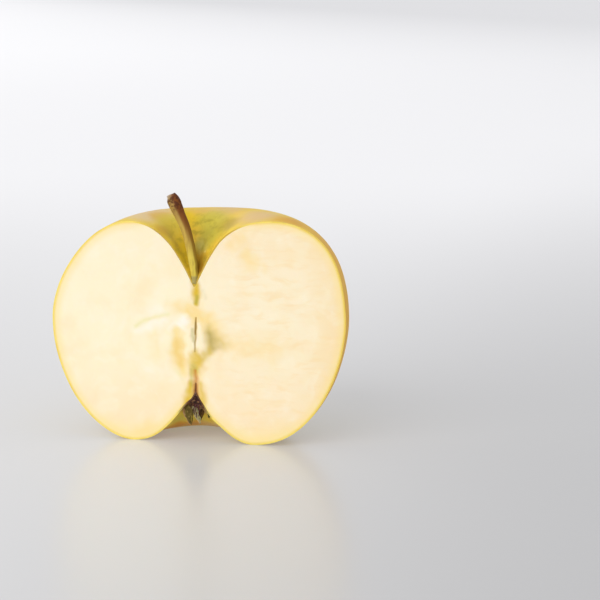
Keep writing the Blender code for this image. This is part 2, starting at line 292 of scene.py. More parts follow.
# Lengths of the ripples that bend it outwards, aside and down.
SEPAL_RIPPLE_LENGTHS = (0.7, 1.1, 0.5)
SEPAL_NOISE_STEP = 7.0
SEPAL_ROWS = 30
SEPAL_COLUMNS = 15

# Dried stamens: angle, distance from the axis at the top and at the bottom, length.
STAMENS = (
    (130, 0.7, 1.2, 3.0),
    (95, 0.4, 0.3, 3.8),
    (60, 0.9, 1.3, 2.8),
    (30, 0.8, 1.0, 3.4),
)
STAMEN_TOP = 10.6
STAMEN_RADIUS = 0.17
STAMEN_WOBBLE = 0.22
STAMEN_WAVES = 7.0
STAMEN_TAPER = 0.35
STAMEN_STOPS = (0.0, 0.25, 0.5, 0.75, 1.0)
STAMEN_ROUNDNESS = 4
STAMEN_TUBE_STEPS = 6

# Patches of colour on the skin: middle x, y and z, reach, strength, colour.
SKIN_PATCHES = (
    # Dome behind the cavity, from the left to the right. Its pale pinkish-tan patches are a painted sheen
    # along the crest.
    (-14.5, 6, 61, 8, 0.85, "#DEC294"),
    (-11.3, 9.2, 61.2, 7, 0.80, "#DCBE8C"),
    (-10.7, 7, 60.5, 4.5, 0.70, "#D8AA34"),
    (-2.6, 11.6, 60.6, 7, 0.85, "#E8C41E"),
    (-1.1, 14, 61.4, 4.5, 0.70, "#DDB45C"),
    # Painted sheen, pale pinkish tan, on the crest.
    (6.1, 13.9, 61.6, 8, 0.80, "#DDB878"),
    (16, 6, 61.5, 9, 0.80, "#DDBA88"),
    (25, 4, 59, 7.5, 0.90, "#DCA018"),
    (31.5, 4, 54, 8, 0.80, "#E6AC0C"),
    # Walls of the stem cavity.
    (-7.5, 6, 58.9, 6, 0.75, "#D2C044"),
    (-6.6, 3.7, 56.7, 5.5, 0.80, "#CEB43C"),
    (-8.8, 1.7, 57.3, 3, 0.60, "#CCA23A"),
    (-3.8, 2.3, 52.3, 5.5, 0.85, "#D0B21E"),
    (3.2, 9.3, 59.4, 7, 0.85, "#C8BC44"),
    (7.3, 5.8, 58.7, 5, 0.70, "#B2A238"),
    (3.3, 5.2, 55.6, 5, 0.80, "#B2A93C"),
    (9, 5.2, 59.3, 4, 0.60, "#BA9C48"),
    (1, 4.4, 52.8, 3.4, 0.80, "#B8B058"),
    (2, 2.2, 49.5, 4, 0.85, "#A87C16"),
    (1.5, 1.5, 47.7, 2.6, 0.85, "#A06A10"),
    # Basin round the calyx, left wall, then the back. The orange-brown and tan patches low down, next to
    # the floor, are painted shade with warm bounced light.
    (-5.4, 4.6, 5.8, 4.2, 0.90, "#C8B848"),
    (-1, 7, 5.2, 4.5, 0.80, "#CBB846"),
    # Painted shade with warm bounced light, low on the basin next to the floor.
    (-6.5, 7, 1.6, 4.4, 0.90, "#CC8010"),
    (-9.5, 6, 0.8, 5, 0.90, "#D89A1C"),
    (-12.5, 3.5, 0.4, 4.5, 0.80, "#D8A82A"),
    (-2.5, 9.6, 1.6, 4.4, 0.90, "#D49238"),
    (1.5, 10, 1.4, 4.6, 0.90, "#D8AC64"),
    (6, 9, 1.2, 5.5, 0.90, "#D6B27A"),
)

# Light that comes up through the table, as a share of its colour, and half the table's side in
# metres.
TABLE_GLOW = 0.45
TABLE_HALF = 30.0

# The diffuser on the front left: strength, its width in the sky and its place in degrees. Then
# the strength of the bright room.
DIFFUSER_STRENGTH = 1.70
DIFFUSER_WIDTH = 60.0
DIFFUSER_FROM_LEFT = 30.0
DIFFUSER_HEIGHT = 28.0
ROOM_STRENGTH = 0.72

# Middles from which the marks of the stem cavity and of the calyx tube spread.
CUT_CAVITY_MIDDLE = (0.0, 0.0, 52.0)
CAVITY_MIDDLE = (1.0, 6.0, 54.0)
TUBE_MIDDLE = (-0.2, 0.6, 11.6)
TUBE_MOUTH_MIDDLE = (0.0, 0.0, 12.0)

# Sockets of the Mix node when it mixes colours.
MIX_A = 6
MIX_B = 7
MIX_RESULT = 2


def linear(hex_colour):
    """The linear colour of an sRGB hex value, with full alpha."""
    channels = [int(hex_colour[start : start + 2], 16) / 255 for start in (1, 3, 5)]
    return *(c / 12.92 if c <= 0.04045 else ((c + 0.055) / 1.055) ** 2.4 for c in channels), 1.0


def add_node(tree, kind, inputs=None, links=None, **settings):
    """Adds one shader node with its settings, the values of its sockets and the links into them."""
    node = tree.nodes.new("ShaderNode" + kind)
    for key, value in settings.items():
        setattr(node, key, value)
    for key, value in (inputs or {}).items():
        node.inputs[key].default_value = value
    for key, socket in (links or {}).items():
        tree.links.new(socket, node.inputs[key])
    return node


def new_material(name, base, values):
    """A new material: itself, its nodes, its shader and the socket with its base colour."""
    material = bpy.data.materials.new(name)
    material.use_nodes = True
    tree = material.node_tree
    colour = add_node(tree, "RGB").outputs["Color"]
    colour.default_value = linear(base)
    shader = tree.nodes["Principled BSDF"]
    for key, value in values.items():
        shader.inputs[key].default_value = value
    return material, tree, shader, colour


def core_coordinates(tree):
    """The place on the piece in the core frame, in millimetres."""
    place = add_node(tree, "TexCoord").outputs["Object"]
    mapping = add_node(
        tree,
        "Mapping",
        vector_type="TEXTURE",
        inputs={"Location": Vector(CORE_PLACE * METRES_PER_MM), "Scale": (METRES_PER_MM,) * 3},
        links={"Vector": place},
    )
    return mapping.outputs["Vector"]


def wander(place, size, reach):
    """Shifts places by a noise, so that marks get uneven edges."""
    tree = place.id_data
    wave = add_node(tree, "TexNoise", inputs={"Scale": 1 / size, "Detail": 2.0}, links={"Vector": place})
    centred = add_node(
        tree,
        "VectorMath",
        operation="SUBTRACT",
        inputs={1: (0.5, 0.5, 0.5)},
        links={0: wave.outputs["Color"]},
    )
    shifted = add_node(
        tree,
        "VectorMath",
        operation="MULTIPLY_ADD",
        inputs={1: (2 * reach,) * 3},
        links={0: centred.outputs["Vector"], 2: place},
    )
    return shifted.outputs["Vector"]


def stained(colour, *stains):
    """Lays tints over the colour one after the other, each where all its fades allow it.

    A stain is the tint, its strength and its fades. A fade is a value, the value at which the
    tint is absent and the one at which it is full.
    """
    tree = colour.id_data
    for tint, strength, *fades in stains:
        amount = None
        for value, bare, full in fades:
            most = 1.0 if amount else strength
            fade = add_node(
                tree,
                "MapRange",
                interpolation_type="SMOOTHSTEP",
                inputs={"From Min": bare, "From Max": full, "To Max": most},
                links={"Value": value},
            ).outputs["Result"]
            if amount:
                both = add_node(tree, "Math", operation="MULTIPLY", links={0: amount, 1: fade})
                fade = both.outputs["Value"]
            amount = fade
        mix = add_node(
            tree, "Mix", data_type="RGBA", inputs={MIX_B: linear(tint)}, links={0: amount, MIX_A: colour}
        )
        colour = mix.outputs[MIX_RESULT]
    return colour


def roughened(tree, shader, height, strength, depth):
    """Gives the surface the small relief of a height."""
    bump = add_node(
        tree,
        "Bump",
        inputs={"Strength": strength, "Distance": depth * METRES_PER_MM},
        links={"Height": height},
    )
    tree.links.new(bump.outputs["Normal"], shader.inputs["Normal"])


def soaked(shader, weight, radius, scale):
    """Lets light into the surface, as far as the scale in millimetres."""
    shader.inputs["Subsurface Weight"].default_value = weight
    shader.inputs["Subsurface Radius"].default_value = radius
    shader.inputs["Subsurface Scale"].default_value = scale * METRES_PER_MM


def flesh_material():
    """Apple flesh, opened by a knife: wet cells that let light in, so it looks creamy and soft.

    It is cream, more yellow under the skin, with the core's tissues drawn on it. The slit and the right
    seed chamber carry painted shade.
    """
    material, tree, shader, colour = new_material("apple flesh, knife cut", "#F9EDCE", {"IOR": 1.38})
    place = core_coordinates(tree)
    sides = add_node(tree, "SeparateXYZ", links={"Vector": place}).outputs
    colour = stained(
        colour,
        ("#F8EACC", 1.0, (sides["X"], -8.0, 14.0)),
        ("#F7E1BC", 0.8, (sides["Z"], 28.0, 5.0)),
        ("#F6E1BC", 0.5, (sides["Z"], 42.0, 58.0), (sides["X"], -30.0, 8.0)),
        ("#F4D8A4", 0.6, (sides["X"], 26.0, 39.0)),
    )

    # Broad clouds in the flesh, about 10 mm and 5 mm across.
    clouds = add_node(tree, "TexNoise", inputs={"Scale": 1 / 10.0, "Detail": 3.0}, links={"Vector": place})
    colour = stained(colour, ("#F7DEB0", 0.45, (clouds.outputs["Fac"], 0.44, 0.72)))
    pale = add_node(
        tree,
        "TexNoise",
        inputs={"Scale": 1 / 5.0, "Detail": 3.0},
        links={"Vector": wander(place, 20.0, 12.0)},
    )
    colour = stained(colour, ("#FCF2DE", 0.35, (pale.outputs["Fac"], 0.46, 0.74)))

    # Fibres that run level through the right lobe, 1.6 mm apart.
    drawn_out = add_node(
        tree,
        "Mapping",
        inputs={"Scale": (1 / 7.0, 1.0, 1 / 1.6), "Rotation": (0.0, 0.05, 0.0)},
        links={"Vector": wander(place, 9.0, 2.0)},
    )
    fibres = add_node(
        tree,
        "TexNoise",
        inputs={"Scale": 1.0, "Detail": 3.0},
        links={"Vector": drawn_out.outputs["Vector"]},
    )
    colour = stained(
        colour,
        ("#F4D8A2", 0.50, (fibres.outputs["Fac"], 0.44, 0.78), (sides["X"], 2.0, 16.0)),
    )

    # Yellow under the skin, fading over 3 mm, and further at the lobes' lower ends. The cavity's
    # skin has none under it.
    depth = add_node(tree, "Attribute", attribute_name="under_skin").outputs["Fac"]
    colour = stained(colour, ("#F6E2A4", 0.70, (depth, 7.0, 0.8), (sides["Z"], 9.0, 2.0)))
    from_pit = add_node(
        tree, "VectorMath", operation="DISTANCE", inputs={1: CUT_CAVITY_MIDDLE}, links={0: place}
    ).outputs["Value"]
    away = (from_pit, 13.0, 20.0)
    colour = stained(
        colour,
        ("#F6DF9C", 0.60, (depth, 3.4, 0.7), away),
        ("#F0D46C", 0.80, (depth, 1.1, 0.3), away),
    )

    for name, tint, _, _ in TISSUES:
        share = add_node(tree, "Attribute", attribute_name=name)
        colour = stained(colour, (tint, 1.0, (share.outputs["Fac"], 0.0, 1.0)))

    cells = add_node(
        tree,
        "TexNoise",
        inputs={"Scale": 1 / 0.45, "Detail": 3.0, "Roughness": 0.6},
        links={"Vector": place},
    ).outputs["Fac"]
    wetness = add_node(tree, "MapRange", inputs={"To Min": 0.42, "To Max": 0.64}, links={"Value": cells})
    tree.links.new(colour, shader.inputs["Base Color"])
    tree.links.new(wetness.outputs["Result"], shader.inputs["Roughness"])
    roughened(tree, shader, cells, 0.10, 0.15)
    soaked(shader, 0.30, (1.0, 0.75, 0.40), 1.6)
    return material


def skin_material():
    """Ripe yellow apple skin: a thin waxy cuticle over yellow cells, so it has a satin sheen.

    It is golden on the shoulders, greener in the cavity and brown where the calyx dried. The golden right
    side near the cut is a painted reflection, the pale crest a painted sheen, and the orange-brown low on
    the basin painted shade.
    """
    values = {
        "IOR": 1.45,
        "Specular IOR Level": 0.25,
        "Sheen Weight": 0.08,
        "Sheen Roughness": 0.45,
        "Sheen Tint": linear("#F6E4DC"),
    }
    material, tree, shader, colour = new_material("apple skin, waxy cuticle", "#EBCB3A", values)
    place = core_coordinates(tree)
    sides = add_node(tree, "SeparateXYZ", links={"Vector": place}).outputs
    golden = add_node(tree, "TexNoise", inputs={"Scale": 1 / 16.0, "Detail": 2.0}, links={"Vector": place})
    colour = stained(colour, ("#E5B830", 0.80, (golden.outputs["Fac"], 0.42, 0.68)))
    cloudy = wander(place, 6.0, 2.0)
    streaks = add_node(
        tree, "TexNoise", inputs={"Scale": 1 / 3.0, "Detail": 3.0}, links={"Vector": cloudy}
    )
    colour = stained(colour, ("#EED668", 0.30, (streaks.outputs["Fac"], 0.50, 0.75)))

    loose = wander(place, 4.0, 1.2)
    # Painted reflection: the right side near the cut is tinted golden, standing for yellow light bounced
    # onto it. The tint fades out towards the back.
    roaming = add_node(tree, "SeparateXYZ", links={"Vector": wander(place, 9.0, 5.0)})
    right_side = (roaming.outputs["X"], 26.0, 37.0)
    near_cut = (roaming.outputs["Y"], 19.0, 4.0)
    colour = stained(colour, ("#F6B800", 0.95, right_side, near_cut))
    for x, y, z, reach, strength, tint in SKIN_PATCHES:
        far = add_node(tree, "VectorMath", operation="DISTANCE", inputs={1: (x, y, z)}, links={0: loose})
        colour = stained(colour, (tint, strength, (far.outputs["Value"], reach, 0.2 * reach)))

    # The cavity's skin is mottled olive, in spots about 2 mm across.
    from_axis = add_node(
        tree, "VectorMath", operation="DISTANCE", inputs={1: CAVITY_MIDDLE}, links={0: loose}
    ).outputs["Value"]
    spots = add_node(
        tree,
        "TexNoise",
        inputs={"Scale": 1 / 2.0, "Detail": 3.0},
        links={"Vector": wander(place, 3.0, 1.5)},
    ).outputs["Fac"]
    colour = stained(
        colour,
        ("#A8962C", 0.45, (spots, 0.44, 0.66), (from_axis, 12.0, 6.0)),
        ("#7C6A1C", 0.20, (spots, 0.58, 0.70), (from_axis, 10.0, 5.0)),
    )

    # Skin next to the cut is lit through the flesh on the shoulders, so it is lighter there.
    colour = stained(colour, ("#E8C650", 0.60, (sides["Y"], 1.2, 0.2), (sides["X"], 18.0, 24.0)))

    # Lenticels: brown dots about 0.5 mm across and 5 mm apart, each with a pale edge.
    dots = add_node(
        tree, "TexVoronoi", inputs={"Scale": 1 / 5.0, "Randomness": 1.0}, links={"Vector": place}
    ).outputs["Distance"]
    colour = stained(
        colour,
        ("#F0DC84", 0.35, (dots, 0.10, 0.06)),
        ("#97702C", 0.60, (dots, 0.055, 0.03)),
    )

    # The calyx tube is dead tissue: purple brown inside, and tan towards its mouth.
    tube_place = wander(place, 1.5, 0.4)
    tube = add_node(
        tree, "VectorMath", operation="DISTANCE", inputs={1: TUBE_MIDDLE}, links={0: tube_place}
    ).outputs["Value"]
    colour = stained(
        colour,
        ("#A88458", 0.90, (tube, 6.6, 4.4)),
        ("#7A4A28", 0.95, (tube, 4.4, 3.2)),
        ("#4A2624", 0.95, (tube, 3.0, 1.8)),
    )
    grime = add_node(
        tree, "TexNoise", inputs={"Scale": 1 / 0.9, "Detail": 4.0}, links={"Vector": tube_place}
    ).outputs["Fac"]
    colour = stained(
        colour,
        ("#2C1512", 0.80, (grime, 0.50, 0.62), (tube, 4.6, 3.0)),
        ("#B98A5C", 0.75, (grime, 0.46, 0.36), (tube, 5.6, 3.6)),
        ("#8E6420", 0.85, (sides["X"], -1.6, -2.8), (tube, 5.2, 3.8)),
    )

    pores = add_node(
        tree, "TexNoise", inputs={"Scale": 1 / 0.6, "Detail": 2.0}, links={"Vector": place}
    ).outputs["Fac"]
    gloss = add_node(
        tree, "MapRange", inputs={"To Min": 0.42, "To Max": 0.54}, links={"Value": streaks.outputs["Fac"]}
    )
    tree.links.new(colour, shader.inputs["Base Color"])
    tree.links.new(gloss.outputs["Result"], shader.inputs["Roughness"])
    roughened(tree, shader, pores, 0.10, 0.08)
    soaked(shader, 0.15, (1.0, 0.7, 0.2), 1.0)
    return material


def skin_edge_material():
    """The skin seen edge-on where the knife went through: a thin bright line, wet.

    It is yellow, grey-olive where it nears the calyx tube, and brown at the tube's mouth.
    """
    material, tree, shader, colour = new_material(
        "apple skin, cut edge", "#F2DA6C", {"Roughness": 0.45, "Specular IOR Level": 0.35}
    )
    place = core_coordinates(tree)
    sides = add_node(tree, "SeparateXYZ", links={"Vector": place}).outputs
    greener = add_node(tree, "TexNoise", inputs={"Scale": 1 / 4.0, "Detail": 2.0}, links={"Vector": place})
    colour = stained(
        colour,
        ("#E6C850", 0.70, (greener.outputs["Fac"], 0.40, 0.66)),
        ("#DDB43C", 0.50, (sides["X"], 25.0, 38.0)),
    )
    from_pit = add_node(
        tree, "VectorMath", operation="DISTANCE", inputs={1: CUT_CAVITY_MIDDLE}, links={0: place}
    ).outputs["Value"]
    colour = stained(colour, ("#BE9C30", 0.90, (from_pit, 17.0, 11.0)))
    mouth = add_node(
        tree,
        "VectorMath",
        operation="DISTANCE",
        inputs={1: TUBE_MOUTH_MIDDLE},
        links={0: wander(place, 1.5, 0.4)},
    ).outputs["Value"]
    colour = stained(
        colour,
        ("#A79A52", 0.90, (mouth, 7.0, 5.4)),
        ("#8A7042", 0.90, (mouth, 5.2, 3.6)),
        ("#5C3014", 0.95, (mouth, 3.6, 2.2)),
    )
    tree.links.new(colour, shader.inputs["Base Color"])
    soaked(shader, 0.2, (1.0, 0.7, 0.3), 1.0)
    return material


def stem_material():
    """Apple stalk: green wood below, drying to brown cork above, ridged along its length."""
    material, tree, shader, colour = new_material(
        "apple stalk, dried wood", "#D8C24C", {"Roughness": 0.7, "Specular IOR Level": 0.25}
    )
    place = core_coordinates(tree)
    height = add_node(tree, "SeparateXYZ", links={"Vector": place}).outputs["Z"]
    shaded = add_node(tree, "Attribute", attribute_name="right_side").outputs["Fac"]
    end = add_node(tree, "Attribute", attribute_name="broken_end").outputs["Fac"]
    drawn_out = add_node(
        tree, "Mapping", inputs={"Scale": (1.0, 1.0, 0.16)}, links={"Vector": place}
    ).outputs["Vector"]

    colour = stained(
        colour,
        ("#BC9C48", 0.90, (height, 48.0, 57.0)),
        ("#967240", 0.70, (height, 58.0, 63.5)),
    )
    threads = add_node(
        tree, "TexNoise", inputs={"Scale": 1 / 0.5, "Detail": 3.0}, links={"Vector": drawn_out}
    )
    colour = stained(
        colour,
        ("#A88838", 0.50, (threads.outputs["Fac"], 0.45, 0.65)),
        # Painted shade: the right side is darker, olive low down. Higher up its brown is partly russet and
        # partly painted shade.
        ("#8A6A14", 0.75, (shaded, 0.45, 0.80), (height, 44.0, 48.0)),
        ("#7A4214", 0.95, (shaded, -0.15, 0.40), (height, 50.0, 63.0)),
    )
    cork = add_node(tree, "TexNoise", inputs={"Scale": 1 / 0.8, "Detail": 4.0}, links={"Vector": place})
    colour = stained(
        colour,
        ("#542A14", 0.85, (cork.outputs["Fac"], 0.42, 0.58), (height, 61.5, 65.0)),
        ("#BDAC98", 0.95, (end, 0.0, 0.7)),
        ("#93865A", 0.75, (height, 46.1, 45.3)),
    )

    grain = add_node(
        tree, "TexNoise", inputs={"Scale": 1 / 0.22, "Detail": 3.0}, links={"Vector": drawn_out}
    )
    tree.links.new(colour, shader.inputs["Base Color"])
    roughened(tree, shader, grain.outputs["Fac"], 0.35, 0.08)
    return material


def dried_sepal_material(name, base, down, edge):
    """Dried sepal tissue: a brittle film with pale down and dark patches, a painted shade of its creases,
    so it is dull and patchy.
    """
    material, tree, shader, colour = new_material(
        name, base, {"Roughness": 0.8, "Specular IOR Level": 0.2}
    )
    place = core_coordinates(tree)
    downy = add_node(
        tree,
        "TexNoise",
        inputs={"Scale": 1 / 0.8, "Detail": 3.0},
        links={"Vector": wander(place, 2.0, 1.5)},
    )
    colour = stained(colour, (down, 0.80, (downy.outputs["Fac"], 0.50, 0.64)))
    # Painted shade: dark patches in a noise stand for shade in the leaf's creases.
    fold_shade = add_node(
        tree,
        "TexNoise",
        inputs={"Scale": 1 / 1.0, "Detail": 2.0},
        links={"Vector": wander(place, 3.0, 4.0)},
    )
    colour = stained(colour, ("#2E2010", 0.65, (fold_shade.outputs["Fac"], 0.54, 0.66)))
    rim = add_node(tree, "Attribute", attribute_name="left_edge").outputs["Fac"]
    colour = stained(colour, (edge, 0.90, (rim, 0.55, 0.95)))
    rough = add_node(tree, "TexNoise", inputs={"Scale": 1 / 0.15, "Detail": 3.0}, links={"Vector": place})
    tree.links.new(colour, shader.inputs["Base Color"])
    roughened(tree, shader, rough.outputs["Fac"], 0.5, 0.06)
    return material


def dried_stamen_material():
    """Dried stamen threads: dark purple brown, dull, with paler flecks."""
    material, tree, shader, colour = new_material(
        "apple stamen, dried", "#4A2626", {"Roughness": 0.75, "Specular IOR Level": 0.2}
    )
    place = core_coordinates(tree)
    flecks = add_node(tree, "TexNoise", inputs={"Scale": 1 / 0.5, "Detail": 2.0}, links={"Vector": place})
    colour = stained(colour, ("#86605A", 0.60, (flecks.outputs["Fac"], 0.50, 0.66)))
    tree.links.new(colour, shader.inputs["Base Color"])
    return material


def outline_at(angle):
    """The apple's outline at this angle round the core, from the right (0) to the left (pi)."""
    share = 0.5 + 0.5 * math.cos(angle)
    outline = {}
    for key, (right, left) in OUTLINE.items():
        outline[key] = left + (right - left) * share
    back = math.sin(angle)
    skew = math.sin(2 * angle)
    rib = RIB_HEIGHT * math.sin(RIB_COUNT * angle)
    outline["crown_height"] += BACK_CROWN_RISE * back + BACK_CROWN_TILT * math.sin(3 * angle)
    outline["crown_radius"] -= BACK_CROWN_INSET * back
    outline["girth_radius"] += BACK_GIRTH_SKEW * skew + rib
    outline["crown_outer_handle"] -= BACK_SHOULDER_SLACK * back
    outline["girth_upper_handle"] -= BACK_SHOULDER_SLACK * back
    outline["foot_radius"] += BACK_FOOT_REACH * back + rib
    outline["foot_inner_handle"] += BACK_BASIN_FULLNESS * back
    return outline


def meridian(angle):
    """Points down the skin at this angle as radius and height, from the pit to the eye."""
    outline = outline_at(angle)
    pit = Vector((0, STEM_PIT_HEIGHT))
    crown = Vector((outline["crown_radius"], outline["crown_height"]))
    girth = Vector((outline["girth_radius"], outline["girth_height"]))
    foot = Vector((outline["foot_radius"], 0))
    eye = Vector((0, EYE_HEIGHT))
    pit_way = Vector((math.sin(outline["pit_flare"]), math.cos(outline["pit_flare"])))
    eye_way = Vector((math.sin(outline["eye_flare"]), -math.cos(outline["eye_flare"])))
    out = Vector((1, 0))
    up = Vector((0, 1))
    pit_handle = pit + pit_way * outline["pit_handle"]
    crown_inner = crown - out * outline["crown_inner_handle"]
    crown_outer = crown + out * outline["crown_outer_handle"]
    girth_upper = girth + up * outline["girth_upper_handle"]
    girth_lower = girth - up * outline["girth_lower_handle"]
    foot_outer = foot + out * outline["foot_outer_handle"]
    foot_inner = foot - out * outline["foot_inner_handle"]
    eye_handle = eye + eye_way * outline["eye_handle"]
    arcs = (
        (pit, pit_handle, crown_inner, crown),
        (crown, crown_outer, girth_upper, girth),
        (girth, girth_lower, foot_outer, foot),
        (foot, foot_inner, eye_handle, eye),
    )
    points = []
    for arc, rows in zip(arcs, ARC_ROWS):
        points += interpolate_bezier(*arc, rows + 1)[:-1]
    points.append(eye)
    return np.array([tuple(point) for point in points])


def noise_field(points, length):
    """Smooth noise from -1 to 1 at each point, with bumps about this long."""
    flat = points.reshape(-1, 3) / length
    values = [noise.noise(Vector(point)) for point in flat]
    return np.array(values).reshape(points.shape[:-1])


def skin_points():
    """The outside of the skin: one row of points for each meridian, from the right to the left."""
    angles = np.linspace(0.0, math.pi, MERIDIAN_STEPS + 1)
    profiles = np.array([meridian(angle) for angle in angles])
    radius = profiles[..., 0]
    height = profiles[..., 1]
    tube_slope = (CALYX_TUBE_TIP - CALYX_TUBE_MOUTH) / CALYX_TUBE_MOUTH_RADIUS
    tube = CALYX_TUBE_TIP - radius * tube_slope
    lower_half = height < STEM_PIT_HEIGHT / 2
    height = np.where(lower_half, np.maximum(height, tube), height)
    ways = angles[:, None]
    points = np.stack((radius * np.cos(ways), radius * np.sin(ways), height), axis=-1)

    around = np.gradient(points, axis=0)
    down = np.gradient(points, axis=1)
    normals = np.cross(down, around)
    normals /= np.maximum(np.linalg.norm(normals, axis=-1, keepdims=True), 1e-9)

    bends = CREASE_BEND * noise_field(points, CREASE_BEND_LENGTH)
    creases = np.sin(CREASE_COUNT * ways + bends)
    in_hollow = np.exp(-(((radius - CREASE_RADIUS) / CREASE_REACH) ** 2))
    in_hollow *= np.abs(height - CREASE_FREE_HEIGHT) > CREASE_FREE_REACH
    swell = SWELL_HEIGHT * noise_field(points, SWELL_LENGTH)
    dimples = DIMPLE_HEIGHT * noise_field(points, DIMPLE_LENGTH)
    rise = swell + dimples + CREASE_HEIGHT * creases * in_hollow
    rise *= np.clip(radius / CORE_CALM_RADIUS, 0.0, 1.0) * np.clip(height / CALM_HEIGHT, 0.0, 1.0)
    points = points + normals * rise[..., None]
    points[..., 2] = np.maximum(points[..., 2], 0.0)
    points[0, :, 1] = 0.0
    points[-1, :, 1] = 0.0
    points[:, 0] = (0.0, 0.0, STEM_PIT_HEIGHT)
    points[:, -1] = (0.0, 0.0, CALYX_TUBE_TIP)
    return points


def ring_shares():
    """Shares of the way from the core's middle to the rim, close together at the core."""
    shares = [0.0]
    step = FIRST_RING_SHARE
    while shares[-1] + step < 1.0:
        shares.append(shares[-1] + step)
        step = min(step * RING_GROWTH, WIDEST_RING_SHARE)
    shares[-1] = 1.0
    return shares[::-1]


def face_rays(loop, corners):
    """Where each ray of the cut face starts on the rim, as a number in the loop, and its way in.

    A corner of the rim sends out several rays, which fan out between those of its neighbours.
    """
    along = np.roll(loop, -1, axis=0) - np.roll(loop, 1, axis=0)
    headings = np.arctan2(-along[:, 0], along[:, 1])
    starts = []
    ways = []
    for number, heading in enumerate(headings):
        turns = [heading]
        if number in corners:
            before = headings[number - 1]
            bend = (headings[(number + 1) % len(loop)] - before) % math.tau
            bend -= math.tau if bend > math.pi else 0.0
            turns = [before + bend * share for share in np.linspace(0.0, 1.0, CORNER_RAYS)]
        starts += [number] * len(turns)
        ways += [(math.cos(turn), math.sin(turn)) for turn in turns]
    return starts, np.array(ways)


def cut_face_rings(starts, ways):
    """Rings of points from the skin's inner edge to the middle of the core."""
    rings = [starts + ways * distance for distance in RIM_OFFSETS]
    rim = rings[-1]
    middle = np.array(RING_MIDDLE)
    rings += [middle + (rim - middle) * share for share in ring_shares()[1:-1]]
    rings.append(middle[None, :])
    return rings


def stroke_share(places, waver, stations):
    """How much of a stroke lies at each place, from 0 at its edge to 1 along its middle."""
    share = np.zeros(len(places))
    for start, end in zip(stations, stations[1:]):
        start_place, start_width = np.array(start[:2]), start[2]
        end_place, end_width = np.array(end[:2]), end[2]
        way = end_place - start_place
        along = np.clip((places - start_place) @ way / (way @ way), 0.0, 1.0)
        width = start_width + (end_width - start_width) * along
        off = places - start_place - along[:, None] * way
        off = off + waver * (STROKE_WAVER_SHARE * width)[:, None]
        inside = 1.0 - np.linalg.norm(off, axis=-1) / width
        share = np.maximum(share, np.clip(inside / STROKE_SOFT_SHARE, 0.0, 1.0))
    return share


def tissue_shares(places, level):
    """How much of each tissue lies at each place on the cut face."""
    sideways = noise_field(level, STROKE_WAVER_LENGTH)
    upwards = noise_field(level + STROKE_WAVER_SHIFT, STROKE_WAVER_LENGTH)
    waver = np.stack((sideways, upwards), axis=-1)
    shares = {}
    for name, _, _, strokes in TISSUES:
        shares[name] = np.zeros(len(places))
        for strength, stations in strokes:
            share = strength * stroke_share(places, waver, stations)
            shares[name] = np.maximum(shares[name], share)
    return shares


def face_depth(level, shares):
    """How deep the cut face lies behind the cut plane: tissues, knife waves and grain."""
    depth = KNIFE_WAVE_DEPTH * noise_field(level, KNIFE_WAVE_LENGTH)
    depth += FLESH_GRAIN_DEPTH * noise_field(level, FLESH_GRAIN_LENGTH)
    for name, _, sunk, _ in TISSUES:
        depth += sunk * shares[name]
    return depth


def put_in_scene(name, data):
    """A new object with this data, in the scene."""
    thing = bpy.data.objects.new(name, data)
    bpy.context.scene.collection.objects.link(thing)
    return thing


def mesh_piece(name, verts, faces, materials, material_index=None):
    """Makes the piece at its place in the part's frame and lets it ride on the only body."""
    data = bpy.data.meshes.new(name)
    moved = (np.asarray(verts) + CORE_PLACE) * METRES_PER_MM
    data.from_pydata(moved.tolist(), [], faces)
    for material in materials:
        data.materials.append(material)
    if material_index is not None:
        data.polygons.foreach_set("material_index", material_index)
    data.shade_smooth()
    piece = put_in_scene(name, data)
    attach(piece, "root")
    return piece


def store(piece, name, values):
    """Keeps a number for each corner of the piece, for its material."""
    attribute = piece.data.attributes.new(name, "FLOAT", "POINT")
    attribute.data.foreach_set("value", np.asarray(values, dtype=float))


